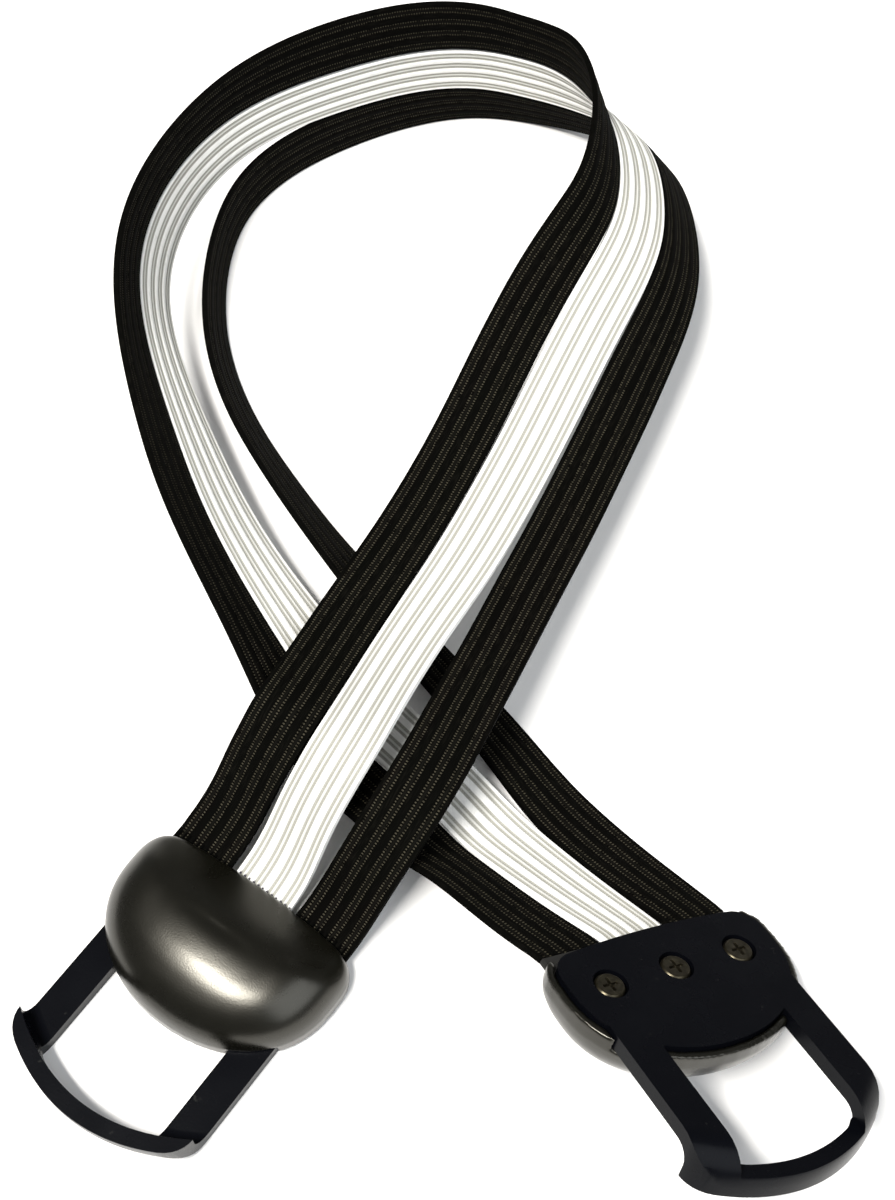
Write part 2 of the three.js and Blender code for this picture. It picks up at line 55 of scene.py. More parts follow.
# %% [markdown]
# ## Camera
#
# The strap was seen from above, from the side of end B's hook, through a fairly long lens. The
# lens is given as pixels of focal length in a picture 1200 pixels tall, which a sensor 36 mm
# tall turns into millimetres. The camera's place comes from the same measuring as the route of
# the bands. It then stands 7 mm further back and aims 2.5 mm lower, so that the whole of end B's
# hook stays in the picture.

# %% Camera
PICTURE_TALL = 1200
FOCAL_PIXELS = 1800
SENSOR_TALL = 36.0
LOOK_AT = Vector((-0.07701, 0.10487, 0.0))
CAMERA_DISTANCE = 0.52
CAMERA_ELEVATION = math.radians(59.5)
CAMERA_TURN = math.radians(36.0)
CLIP_START = 0.01

sight = Vector((
    -math.sin(CAMERA_TURN) * math.cos(CAMERA_ELEVATION),
    math.cos(CAMERA_TURN) * math.cos(CAMERA_ELEVATION),
    -math.sin(CAMERA_ELEVATION),
))
side = Vector((math.cos(CAMERA_TURN), math.sin(CAMERA_TURN), 0.0))
above = side.cross(sight)
turn = Matrix((side, above, -sight)).transposed()

camera_data = bpy.data.cameras.new("camera")
camera_data.sensor_fit = "VERTICAL"
camera_data.sensor_height = SENSOR_TALL
camera_data.lens = FOCAL_PIXELS / PICTURE_TALL * SENSOR_TALL
camera_data.clip_start = CLIP_START
camera = bpy.data.objects.new("camera", camera_data)
camera.matrix_world = turn.to_4x4()
camera.location = LOOK_AT - sight * CAMERA_DISTANCE
bpy.context.scene.collection.objects.link(camera)
bpy.context.scene.camera = camera
print("camera at", tuple(round(v, 4) for v in camera.location))

# %% [markdown]
# ## Route of the strap
#
# Each row is one station on the outer edge of the second black band: x, y and z in metres from
# end A's middle screw, then how far over the second black band, the white band and the first
# black band lean, in degrees, then how far the white band steps aside, and last how far the
# sections are skewed where the strap enters end B at a slant. The stations are those of the
# solid model, because the woven bands take the solids' place. The frame's origin lies under the
# middle of the box round both end fittings, and ORIGIN_SHIFT moves the drawing there.

# %% Route stations
BAND_WIDTH = 0.018
BAND_THICKNESS = 0.002
BAND_PITCH = 0.020
BAND_LEVEL = 0.0058
BAND_TAIL = 0.008
BAND_MEET = 0.0159
CLAMP_DEPTH = 0.014
FREE_GAP = 0.0008
CLOSE_OVER = 0.045
CLAMPED_RUN = 0.024
FLOOR_GAP = 0.00005

ORIGIN_SHIFT = Vector((0.00042428, 0.00279033, 0.0))
END_A = Vector((-0.0625, -0.015, 0.0))
END_B = Vector((0.037, 0.0397, 0.02425))
TURN_A = Matrix.Rotation(math.pi, 3, "Z")
TURN_B = (
    Matrix.Rotation(math.radians(66), 3, "Z")
    @ Matrix.Rotation(math.radians(-16), 3, "X")
    @ Matrix.Rotation(math.radians(24), 3, "Y")
    @ Matrix.Rotation(math.pi, 3, "X")
)

ROUTE = [
    (0.0294, 0.0222, 0.009, 0, 0, 0.5, -0.0008, 0),
    (0.0306, 0.0322, 0.019, 1, -4, 3.5, -0.0032, 0),
    (0.0316, 0.0452, 0.0273, 5, -7.5, 5.5, -0.004, 0),
    (0.0306, 0.061, 0.0306, 9, -10.9, 6.9, -0.0041, 0),
    (0.0265, 0.0816, 0.0282, 1.8, -13.7, 3.2, -0.0045, 0),
    (0.0224, 0.1023, 0.0258, -1.1, -9.7, 1.9, -0.0036, 0),
    (0.0182, 0.1231, 0.0244, -0.4, -3.5, -0.5, -0.0011, 0),
    (0.0145, 0.144, 0.0235, 2.1, 0.9, -2.9, -0.0006, 0),
    (0.0101, 0.1654, 0.0229, 7.1, 4.5, -0.6, 0, 0),
    (0.0053, 0.1875, 0.0228, 16.1, 10.4, 9.6, 0, 0),
    (0.0004, 0.2075, 0.023, 27, 17.9, 22.3, 0, 0),
    (-0.0045, 0.2259, 0.0233, 38.2, 26.3, 35.9, 0, 0),
    (-0.0115, 0.2428, 0.0238, 47.3, 34.5, 48.8, 0, 0),
    (-0.0228, 0.2588, 0.0237, 53, 39.8, 61.1, 0, 0),
    (-0.0374, 0.2744, 0.0213, 55.6, 43.7, 74.1, 0, 0),
    (-0.0525, 0.2847, 0.0147, 54.9, 54.7, 84.3, 0, 0),
    (-0.0685, 0.2906, 0.0084, 57.8, 69.9, 84.3, 0, 0),
    (-0.0858, 0.2914, 0.0034, 64, 80, 83.1, 0, 0),
    (-0.1035, 0.2876, 0.0005, 68.8, 83.2, 84, 0, 0),
    (-0.1218, 0.2783, 0, 74.5, 82.7, 88.7, 0, 0),
    (-0.1364, 0.2617, 0.0001, 80.6, 84.6, 94.2, 0, 0),
    (-0.1474, 0.2416, 0.0002, 85.3, 86, 96.1, 0, 0),
    (-0.155, 0.22, 0.0002, 89.6, 87.9, 91.3, 0.0015, 0),
    (-0.1557, 0.1973, 0.0001, 92.3, 93.1, 84.9, 0.0052, 0),
    (-0.1465, 0.176, 0, 96.3, 101.6, 85.9, 0.0098, 0),
    (-0.1322, 0.1572, 0.0001, 103.4, 110.1, 94.9, 0.0114, 0),
    (-0.1156, 0.143, 0.0003, 112.1, 118.8, 106, 0.0088, 0),
    (-0.0967, 0.1318, 0.0008, 119.1, 126.4, 115.3, 0.0072, 0),
    (-0.0758, 0.1229, 0.0017, 123.7, 133.6, 121.5, 0.0088, 0),
    (-0.0515, 0.114, 0.0024, 128.2, 144.4, 125.7, 0.0104, 0),
    (-0.0249, 0.1078, 0.0012, 139.1, 161.6, 136.9, 0.0091, 0),
    (-0.0017, 0.1023, 0, 146.6, 173.6, 161.8, 0.0077, 0),
    (0.0222, 0.0963, 0.0001, 150.4, 175.7, 168.7, 0.0049, 6.2),
    (0.0438, 0.0895, 0, 154.4, 174.6, 161, 0.0019, 12.9),
    (0.0591, 0.0864, 0.001, 160, 169.5, 148.4, 0, 18.4),
    (0.0756, 0.0838, 0.0019, 158.3, 160.3, 144.9, -0.0007, 20.5),
]
print("route stations:", len(ROUTE))


# %% Stations inside the clamps
def in_end(turn_of_end, place, x, y, z):
    return turn_of_end @ Vector((x, y, z)) + place


def lean_in_end_b():
    along = TURN_B @ Vector((0, 1, 0))
    across = TURN_B @ Vector((1, 0, 0))
    level = Vector((along.y, -along.x, 0)).normalized()
    up = level.cross(along)
    return math.degrees(math.atan2(-across.dot(up), across.dot(level)))


def all_stations():
    edge = BAND_PITCH + BAND_WIDTH / 2
    straight = CLAMP_DEPTH - BAND_TAIL
    rows = []
    for y in (BAND_TAIL + straight, BAND_TAIL, straight - BAND_MEET, -BAND_MEET):
        rows.append((*in_end(TURN_A, END_A, -edge, y, BAND_LEVEL), 0, 0, 0, 0, 0))
    for row in ROUTE:
        rows.append((row[0] + END_A.x, row[1] + END_A.y, *row[2:]))
    lean = lean_in_end_b()
    slant = ROUTE[-1][-1]
    for y in (-BAND_MEET, BAND_PITCH - BAND_MEET):
        rows.append((*in_end(TURN_B, END_B, edge, y, BAND_LEVEL), lean, lean, lean, 0, slant))
    return np.array(rows, float)


stations = all_stations()
print("first station", np.round(stations[1, :3], 4), "last", np.round(stations[-2, :3], 4))

# %% [markdown]
# ## From stations to band edges
#
# A Catmull-Rom curve passes through every station, so the measured points stay exact. At each
# step the direction of the run and a level direction across it give a small frame, and the
# lean angle says how the band stands in that frame. The three bands follow one another edge to
# edge, which is how they leave the clamps.


# %% Smooth run
def smooth_run(rows, steps):
    values, slopes = [], []
    last = len(rows) - 2
    for i in range(1, last):
        a, b, c, d = rows[i - 1], rows[i], rows[i + 1], rows[i + 2]
        for k in range(steps + (i == last - 1)):
            t = k / steps
            bend = 2 * a - 5 * b + 4 * c - d
            twist = 3 * b - 3 * c + d - a
            values.append((2 * b + (c - a) * t + bend * t**2 + twist * t**3) / 2)
            slopes.append(((c - a) + 2 * bend * t + 3 * twist * t**2) / 2)
    return np.array(values), np.array(slopes)[:, :3]


def unit(v):
    return v / np.linalg.norm(v, axis=1)[:, None]


def band_edges(steps):
    values, slopes = smooth_run(stations, steps)
    slopes[-1] = TURN_B @ Vector((0, 1, 0))
    mouth_across = np.array(TURN_B @ Vector((1, 0, 0)))
    last_steps = (np.arange(len(values)) + 1 - len(values)) / steps
    turned_in = np.maximum(0, 1 + last_steps)[:, None]
    points = values[:, :3].copy()
    along = unit(slopes)
    level = unit(np.stack([along[:, 1], -along[:, 0], np.zeros(len(along))], axis=1))
    up = np.cross(level, along)
    run = np.concatenate([[0], np.cumsum(np.linalg.norm(np.diff(points, axis=0), axis=1))])
    near = np.clip(np.minimum(run - CLAMPED_RUN, run[-1] - run) / CLOSE_OVER, 0, 1)
    clamp_gap = BAND_PITCH - BAND_WIDTH
    gap = (clamp_gap + (FREE_GAP - clamp_gap) * near**2 * (3 - 2 * near))[:, None]
    skew = np.tan(np.radians(values[:, 7]))[:, None]

    def over(column):
        a = np.radians(values[:, column])[:, None]
        free = np.cos(a) * level - np.sin(a) * up + skew * along
        return free * (1 - turned_in) + mouth_across * turned_in

    w2, ww, w1 = over(3), over(4), over(5)
    rest = BAND_THICKNESS / 2 * np.abs(np.cos(np.radians(values[:, 3]))) + FLOOR_GAP
    points[:, 2] = np.maximum(points[:, 2], rest)
    inner2 = points - BAND_WIDTH * w2
    outer_w = inner2 - gap * (w2 + ww) / 2 + values[:, 6][:, None] * level
    inner_w = outer_w - BAND_WIDTH * ww
    outer_1 = inner_w - gap * (ww + w1) / 2
    inner_1 = outer_1 - BAND_WIDTH * w1
    shift = np.array(ORIGIN_SHIFT)
    pairs = {
        "black_2": (points + shift, inner2 + shift),
        "white": (outer_w + shift, inner_w + shift),
        "black_1": (outer_1 + shift, inner_1 + shift),
    }
    return pairs


STEPS_PER_STATION = 10
edge_pairs = band_edges(STEPS_PER_STATION)
print("steps along the strap:", len(edge_pairs["white"][0]))

# %% [markdown]
# ## Easing the edges
#
# Stretched elastic runs in long even curves, while a curve through measured stations keeps a
# trace of every one of them. So each edge is eased: again and again every point moves halfway
# towards the middle of its two neighbours, except in the clamps, where the band is held. The
# lowest edge is kept on the floor, and the clear height where the strap crosses over itself is
# measured before and after.

# %% Ease the edges
EASE_ROUNDS = 36
EASE_STEP = 0.5
EASE_FROM = 0.003
EASE_OVER = 0.014
HELD_DOWN_UNDER = 0.001


def eased(points, share):
    out = points.copy()
    for _ in range(EASE_ROUNDS):
        middle = (out[:-2] + out[2:]) / 2
        out[1:-1] += (middle - out[1:-1]) * EASE_STEP * share[1:-1, None]
    return out


def ease_bands(pairs):
    outer = pairs["black_2"][0]
    run = np.concatenate([[0], np.cumsum(np.linalg.norm(np.diff(outer, axis=0), axis=1))])
    free = np.minimum(run - CLAMPED_RUN, run[-1] - run) - EASE_FROM
    share = np.clip(free / EASE_OVER, 0, 1)
    eased_pairs, furthest = {}, 0.0
    for key, edges in pairs.items():
        new_edges = [eased(edge, share) for edge in edges]
        if key == "black_2":
            lowest = np.minimum(outer[:, 2], HELD_DOWN_UNDER)
            new_edges[0][:, 2] = np.maximum(new_edges[0][:, 2], lowest)
        moved = max(np.linalg.norm(a - b, axis=1).max() for a, b in zip(edges, new_edges))
        furthest = max(furthest, moved)
        eased_pairs[key] = tuple(new_edges)
    print("furthest that a point was eased:", round(furthest * 1000, 2), "mm")
    return eased_pairs


# %% [markdown]
# ## Clear height
#
# Both runs are sampled at several places across each band. Where an upper and a lower sample
# lie over one another, seen from above, their difference in height less one thickness is the
# clear height there, and the least of these is what counts.

# %% Clear height at the crossing
UPPER_TENTHS = 3
LOWER_TENTHS = 3
PLACES_ACROSS = 7
SAME_PLACE = 0.0015


def crossing_gap(pairs):
    """The least clear height between the upper run and the lower one where they cross."""
    rows = len(pairs["white"][0])
    shares = np.linspace(0, 1, PLACES_ACROSS)[:, None, None]
    every = [outer + (inner - outer) * shares for outer, inner in pairs.values()]
    upper_end = rows * UPPER_TENTHS // 10
    lower_start = rows * (10 - LOWER_TENTHS) // 10
    upper = np.concatenate([p[:, :upper_end].reshape(-1, 3) for p in every])
    lower = np.concatenate([p[:, lower_start:].reshape(-1, 3) for p in every])
    apart = upper[:, None, :2] - lower[None, :, :2]
    beside = np.linalg.norm(apart, axis=2) < SAME_PLACE
    heights = (upper[:, None, 2] - lower[None, :, 2])[beside]
    return float(heights.min()) - BAND_THICKNESS


print("clear height at the crossing before:", round(crossing_gap(edge_pairs) * 1000, 2), "mm")
edge_pairs = ease_bands(edge_pairs)
print("clear height at the crossing after:", round(crossing_gap(edge_pairs) * 1000, 2), "mm")
centre_line = (edge_pairs["white"][0] + edge_pairs["white"][1]) / 2
headings = unit(np.gradient(centre_line, axis=0))

# %% [markdown]
# ## The ribbed section
#
# The elastic is woven in ribs. Four stitched stripes run along it, each a narrow rib with a fine
# groove on both sides, and between them lie three broad ribs, with a slim one at each edge. One
# half of the section is drawn as points across the width, a little rounded on each rib, and
# mirrored for the other face. Drawing the ribs in the mesh, and only the threads in the
# material, keeps them true in the silhouette as well.

# %% Section of a band
EDGE_RIB = 0.0013
NARROW_RIB = 0.0012
GROOVE = 0.00035
BROAD_RIB = (BAND_WIDTH - 2 * EDGE_RIB - 4 * NARROW_RIB - 8 * GROOVE) / 3
GROOVE_FLOOR = 0.74
NARROW_TOP = 0.92
SHOULDER = 0.94
SHOULDER_IN = 0.0002

RIBS = [EDGE_RIB] + [NARROW_RIB, BROAD_RIB] * 3 + [NARROW_RIB, EDGE_RIB]


def ribbed_section():
    top, start = [], 0.0
    for width in RIBS:
        end = start + width
        crest = NARROW_TOP if width < BROAD_RIB else 1.0
        top += [
            (start, GROOVE_FLOOR),
            (start + SHOULDER_IN, crest * SHOULDER),
            ((start + end) / 2, crest),
            (end - SHOULDER_IN, crest * SHOULDER),
            (end, GROOVE_FLOOR),
        ]
        start = end + GROOVE
    return top + [(across, -height) for across, height in reversed(top)]


SECTION = ribbed_section()
print("points in a band's section:", len(SECTION))


# %% Mesh of one band
def ribbon(name, outer, inner, along):
    width = np.linalg.norm(outer - inner, axis=1)[:, None]
    across = (inner - outer) / width
    face = unit(np.cross(across, along))
    centre = (outer + inner) / 2
    run = np.concatenate([[0], np.cumsum(np.linalg.norm(np.diff(centre, axis=0), axis=1))])
    rows, count = len(outer), len(SECTION)
    verts = np.zeros((rows, count, 3))
    for k, (place, height) in enumerate(SECTION):
        on_face = outer + across * width * (place / BAND_WIDTH)
        verts[:, k] = on_face + face * (height * BAND_THICKNESS / 2)
    faces = [list(range(count))[::-1], [(rows - 1) * count + k for k in range(count)]]
    for r in range(rows - 1):
        for k in range(count):
            n = (k + 1) % count
            faces.append((r * count + k, r * count + n, (r + 1) * count + n, (r + 1) * count + k))
    mesh = bpy.data.meshes.new(name)
    mesh.from_pydata(verts.reshape(-1, 3).tolist(), [], faces)
    uv = mesh.uv_layers.new(name="weave")
    place = np.array([p / BAND_WIDTH for p, _ in SECTION])
    loops = np.zeros(len(mesh.loops), np.int32)
    mesh.loops.foreach_get("vertex_index", loops)
    coords = np.stack([place[loops % count], run[loops // count] / BAND_WIDTH], axis=1)
    uv.data.foreach_set("uv", coords.astype(np.float32).ravel())
    mesh.validate()
    band = bpy.data.objects.new(name, mesh)
    bpy.context.scene.collection.objects.link(band)
    return band, centre, float(run[-1])


def only(*objects):
    bpy.ops.object.select_all(action="DESELECT")
    for o in objects:
        o.select_set(True)
    bpy.context.view_layer.objects.active = objects[0]


def outward(obj):
    only(obj)
    bpy.ops.object.mode_set(mode="EDIT")
    bpy.ops.mesh.select_all(action="SELECT")
    bpy.ops.mesh.normals_make_consistent(inside=False)
    bpy.ops.object.mode_set(mode="OBJECT")


bands = {}
for key in ("black_1", "white", "black_2"):
    outer, inner = edge_pairs[key]
    bands[key] = ribbon(f"woven_band_{key}", outer, inner, headings)
    outward(bands[key][0])
    print(key, "band length", round(bands[key][2], 4), "m, faces", len(bands[key][0].data.polygons))

# %% [markdown]
# ## Screw holes in the clamped ends
#
# End A's screws go through the bands, so each band is pierced there. A cylinder is added at the
# hole's size and place and taken away with a Boolean modifier, as it would be by hand.

# %% Pierce the bands
HOLE_RADIUS = 0.0025
HOLE_SIDES = 32
BAND_SIDE_A = {"black_2": -BAND_PITCH, "white": 0.0, "black_1": BAND_PITCH}


def pierce(band, x):
    middle = in_end(TURN_A, END_A, x, 0, BAND_LEVEL) + ORIGIN_SHIFT
    bpy.ops.object.select_all(action="DESELECT")
    bpy.ops.mesh.primitive_cylinder_add(
        vertices=HOLE_SIDES, radius=HOLE_RADIUS, depth=4 * BAND_THICKNESS, location=middle
    )
    punch = bpy.context.active_object
    cut = band.modifiers.new("hole", "BOOLEAN")
    cut.operation = "DIFFERENCE"
    cut.object = punch
    cut.solver = "EXACT"
    only(band)
    bpy.ops.object.modifier_apply(modifier=cut.name)
    bpy.data.objects.remove(punch)


for key, x in BAND_SIDE_A.items():
    pierce(bands[key][0], x)
    print(key, "faces after piercing:", len(bands[key][0].data.polygons))

# %% [markdown]
# ## Woven elastic
#
# The threads follow the band, so the material reads the band's own UV map: U across the width,
# V along it in band widths. Four stripes fill the width, so the fraction of four times U says
# where a point lies in its stripe, and its distance from the stripe's middle tells the narrow
# rib, the two stitch lines beside it and the broad rib apart. The stitch lines sit in grooves
# that are darkened with painted shade. A fast wave along V breaks the lines into stitches, out of
# step on the two sides, and a finer one gives the cross threads. Just outside end A's lip a
# short row of dark ticks is painted shade of its grip teeth where they bite the ribs.


# %% Node helpers
def new_material(name):
    material = bpy.data.materials.new(name)
    material.use_nodes = True
    tree = material.node_tree
    shader = tree.nodes["Principled BSDF"]
    return material, tree, shader


def add(tree, kind, **values):
    node = tree.nodes.new(kind)
    for key, value in values.items():
        setattr(node, key, value)
    return node


def math_node(tree, operation, first, second=None):
    node = add(tree, "ShaderNodeMath", operation=operation)
    for socket, value in zip(node.inputs, (first, second)):
        if value is None:
            continue
        if isinstance(value, (int, float)):
            socket.default_value = value
        else:
            tree.links.new(value, socket)
    return node.outputs[0]


def mix_colour(tree, factor, first, second):
    node = add(tree, "ShaderNodeMix", data_type="RGBA")
    tree.links.new(factor, node.inputs["Factor"])
    for socket, value in ((node.inputs[6], first), (node.inputs[7], second)):
        if isinstance(value, tuple):
            socket.default_value = value
        else:
            tree.links.new(value, socket)
    return node.outputs[2]


def smooth_step(tree, value, low, high):
    """0 below low, 1 above high and a soft rise between; low may be the larger one."""
    node = add(tree, "ShaderNodeMapRange", interpolation_type="SMOOTHSTEP")
    node.inputs["From Min"].default_value = low
    node.inputs["From Max"].default_value = high
    tree.links.new(value, node.inputs["Value"])
    return node.outputs["Result"]


def stretched_noise(tree, coords, scale, detail):
    node = add(tree, "ShaderNodeTexNoise")
    node.inputs["Scale"].default_value = 1.0
    node.inputs["Detail"].default_value = detail
    stretch = add(tree, "ShaderNodeVectorMath", operation="MULTIPLY")
    stretch.inputs[1].default_value = scale
    tree.links.new(coords, stretch.inputs[0])
    tree.links.new(stretch.outputs[0], node.inputs["Vector"])
    return node.outputs["Fac"]


# %% Ribs, grooves and stitch lines
STRIPES = 4
LINE_OFFSET = (NARROW_RIB + GROOVE) / 2 / BAND_WIDTH * STRIPES
LINE_HALF = 0.095
LINE_CORE = 0.02
# The groove mask marks where painted shade darkens the grooves around each stitch line.
GROOVE_SHADE_HALF = 0.14
GROOVE_SHADE_CORE = 0.06
RIB_BLEND = 0.04
print("stitch lines sit", round(LINE_OFFSET, 3), "of a stripe from its middle")


def stripe_parts(tree, across):
    in_stripe = math_node(tree, "FRACT", math_node(tree, "MULTIPLY", across, STRIPES))
    from_middle = math_node(tree, "SUBTRACT", in_stripe, 0.5)
    off = math_node(tree, "ABSOLUTE", from_middle)
    off_line = math_node(tree, "ABSOLUTE", math_node(tree, "SUBTRACT", off, LINE_OFFSET))
    narrow_part = smooth_step(tree, off, LINE_OFFSET, LINE_OFFSET - RIB_BLEND)
    line_part = smooth_step(tree, off_line, LINE_HALF, LINE_CORE)
    groove_shade_part = smooth_step(tree, off_line, GROOVE_SHADE_HALF, GROOVE_SHADE_CORE)
    return from_middle, narrow_part, line_part, groove_shade_part


# %% Stitches and painted shade of the grip teeth
STITCHES_PER_WIDTH = 22
STITCH_RISE = (-0.35, 0.55)
DASHES = ((64.0, 8.0, 1.0), 1.0)
DASH_RISE = (0.3, 0.55)
GRIP_TEETH = 12
TOOTH_RISE = (-0.1, 0.5)
LIP = (BAND_TAIL + CLAMP_DEPTH) / BAND_WIDTH
GRIP_FADE = (LIP + 0.12, LIP + 0.07)
print("one stitch is", round(BAND_WIDTH / STITCHES_PER_WIDTH * 1000, 2), "mm long")


def wave(tree, value, count):
    return math_node(tree, "SINE", math_node(tree, "MULTIPLY", value, 2 * math.pi * count))


def stitch_part(tree, uv, along, from_middle, line_part, share):
    side_step = math_node(tree, "MULTIPLY", math_node(tree, "SIGN", from_middle), math.pi / 2)
    beat = math_node(tree, "MULTIPLY", along, 2 * math.pi * STITCHES_PER_WIDTH)
    beat = math_node(tree, "SINE", math_node(tree, "ADD", beat, side_step))
    stitches = math_node(tree, "MULTIPLY", line_part, smooth_step(tree, beat, *STITCH_RISE))
    dashes = smooth_step(tree, stretched_noise(tree, uv, *DASHES), *DASH_RISE)
    return math_node(tree, "MULTIPLY", stitches, math_node(tree, "MULTIPLY", dashes, share))


# Painted shade: a row of dark ticks just outside end A's lip stands for the shade of its grip teeth
# on the ribs.
def grip_shade_part(tree, across, along):
    rows = smooth_step(tree, wave(tree, across, GRIP_TEETH), *TOOTH_RISE)
    return math_node(tree, "MULTIPLY", rows, smooth_step(tree, along, *GRIP_FADE))


# %% Worn streaks and the weave's relief
STREAKS = ((46.0, 5.0, 1.0), 3.0)
STREAK_RISE = (0.42, 0.72)
PATCHES = ((1.6, 0.9, 1.0), 2.0)
PATCH_RISE = (0.3, 0.62)
WORN_SHARE = 0.75
PICKS_PER_WIDTH = 26
ENDS_PER_WIDTH = 36
WEAVE_HEIGHT = 0.4
STREAK_HEIGHT = 0.6
RELIEF_STRENGTH = 0.55
RELIEF = 0.0002
print("the weave repeats every", round(BAND_WIDTH / PICKS_PER_WIDTH * 1000, 2), "mm")


def worn_part(tree, uv, streaks):
    patches = smooth_step(tree, stretched_noise(tree, uv, *PATCHES), *PATCH_RISE)
    worn = math_node(tree, "MULTIPLY", smooth_step(tree, streaks, *STREAK_RISE), WORN_SHARE)
    return math_node(tree, "MULTIPLY", worn, patches)


def weave_relief(tree, across, along, stitches, streaks):
    picks = wave(tree, along, PICKS_PER_WIDTH)
    ends = wave(tree, across, ENDS_PER_WIDTH)
    weave = math_node(tree, "MULTIPLY", picks, ends)
    raised = math_node(tree, "ADD", math_node(tree, "MULTIPLY", weave, WEAVE_HEIGHT), stitches)
    raised = math_node(tree, "ADD", raised, math_node(tree, "MULTIPLY", streaks, STREAK_HEIGHT))
    bump = add(tree, "ShaderNodeBump")
    bump.inputs["Strength"].default_value = RELIEF_STRENGTH
    bump.inputs["Distance"].default_value = RELIEF
    tree.links.new(raised, bump.inputs["Height"])
    return bump.outputs[0]


# %% Webbing material
GROOVE_SHADE_SHARE = 0.9
YARN_ROUGHNESS = 0.82


def webbing(name, broad, narrow, worn, stitch, groove_shade, grip_shade, stitch_share, specular):
    material, tree, shader = new_material(name)
    uv = add(tree, "ShaderNodeUVMap", uv_map="weave").outputs[0]
    split = add(tree, "ShaderNodeSeparateXYZ")
    tree.links.new(uv, split.inputs[0])
    across, along = split.outputs[0], split.outputs[1]

    from_middle, narrow_part, line_part, groove_shade_part = stripe_parts(tree, across)
    streaks = stretched_noise(tree, uv, *STREAKS)
    stitches = stitch_part(tree, uv, along, from_middle, line_part, stitch_share)
    colour = mix_colour(tree, narrow_part, broad, narrow)
    colour = mix_colour(tree, worn_part(tree, uv, streaks), colour, worn)
    # Painted shade: the grooves around each stitch line are darkened towards the groove colour.
    painted_groove_shade = math_node(tree, "MULTIPLY", groove_shade_part, GROOVE_SHADE_SHARE)
    colour = mix_colour(tree, painted_groove_shade, colour, groove_shade)
    colour = mix_colour(tree, stitches, colour, stitch)
    # Painted shade of end A's grip teeth, as dark ticks just outside its lip.
    colour = mix_colour(tree, grip_shade_part(tree, across, along), colour, grip_shade)
    relief = weave_relief(tree, across, along, stitches, streaks)
    tree.links.new(colour, shader.inputs["Base Color"])
    tree.links.new(relief, shader.inputs["Normal"])
    shader.inputs["Roughness"].default_value = YARN_ROUGHNESS
    shader.inputs["Specular IOR Level"].default_value = specular
    return material


# %% Black and white webbing
# In both webbings the groove colour is painted shade in the grooves.
black_webbing = webbing(
    "black_webbing",
    broad=(0.0014, 0.0014, 0.0011, 1),
    narrow=(0.0042, 0.004, 0.0032, 1),
    worn=(0.0046, 0.0043, 0.0033, 1),
    stitch=(0.056, 0.051, 0.036, 1),
    groove_shade=(0.0006, 0.0006, 0.0005, 1),
    grip_shade=(0.0006, 0.0006, 0.0005, 1),
    stitch_share=0.95,
    specular=0.02,
)
white_webbing = webbing(
    "white_webbing",
    broad=(0.88, 0.88, 0.86, 1),
    narrow=(0.6, 0.6, 0.57, 1),
    worn=(0.7, 0.7, 0.67, 1),
    stitch=(0.4, 0.395, 0.35, 1),
    groove_shade=(0.27, 0.268, 0.235, 1),
    grip_shade=(0.03, 0.025, 0.04, 1),
    stitch_share=0.55,
    specular=0.2,
)
WEBBING = {"black_1": black_webbing, "white": white_webbing, "black_2": black_webbing}
RIB_ANGLE = math.radians(50)
for key, (band, _, _) in bands.items():
    band.data.materials.clear()
    band.data.materials.append(WEBBING[key])
    only(band)
    bpy.ops.object.shade_smooth_by_angle(angle=RIB_ANGLE)
print("materials on the bands:", [b[0].data.materials[0].name for b in bands.values()])

# %% [markdown]
# ## The bands take their solids' place
#
# Each band keeps its real length and width; its mesh is baked in place and takes its solid's
# place, which is hidden. The real strap is elastic: when end B is pulled, the last free stretch
# beside it lengthens, from just past the place where the strap crosses itself to end B's mouth.

# %% Bake the bands and hide their solids
CAD_BAND = {"black_1": "band_black_1", "white": "band_white", "black_2": "band_black_2"}

for key, (band, centre, length) in bands.items():
    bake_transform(band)
    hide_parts(CAD_BAND[key])
    print("declared", band.name, "length", round(length, 4))

# %% [markdown]
# ## Held ends of the bands in end B
#
# The short clamped stretches that travel with end B are CAD solids. They have no UV map, so
# they get a plain weave on Object coordinates in the same colours; only their last fraction of
# a millimetre shows at the mouth.


# %% Held ends
HELD_SHADE = 0.6
HELD_WEAVE = 900.0
HELD_ROUGHNESS = 0.88


def held_webbing(name, colour):
    material, tree, shader = new_material(name)
    place = add(tree, "ShaderNodeTexCoord")
    noise = add(tree, "ShaderNodeTexNoise")
    noise.inputs["Scale"].default_value = HELD_WEAVE
    tree.links.new(place.outputs["Object"], noise.inputs["Vector"])
    darker = tuple(c * HELD_SHADE for c in colour[:3]) + (1,)
    threads = mix_colour(tree, noise.outputs["Fac"], darker, colour)
    tree.links.new(threads, shader.inputs["Base Color"])
    shader.inputs["Roughness"].default_value = HELD_ROUGHNESS
    return material


held_black = held_webbing("held_black_webbing", (0.006, 0.0058, 0.005, 1))
held_white = held_webbing("held_white_webbing", (0.88, 0.88, 0.86, 1))
for node, material in (
    ("band_black_1_end", held_black),
    ("band_white_end", held_white),
    ("band_black_2_end", held_black),
):
    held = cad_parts[node]
    held.data.materials.clear()
    held.data.materials.append(material)
print("held ends dressed")

# %% [markdown]
# ## Moulded covers and hook plates
#
# The solids' shapes are right, but their edges are knife sharp, and a moulding's never are. A
# copy of each hook plate and screw is merged into one skin, its flat faces are joined again, and
# a bevel rounds every sharp edge a little, so that edges catch the light as moulded ones do.
# Weighted normals let the broad flat faces keep their own shading beside the rounded edges.


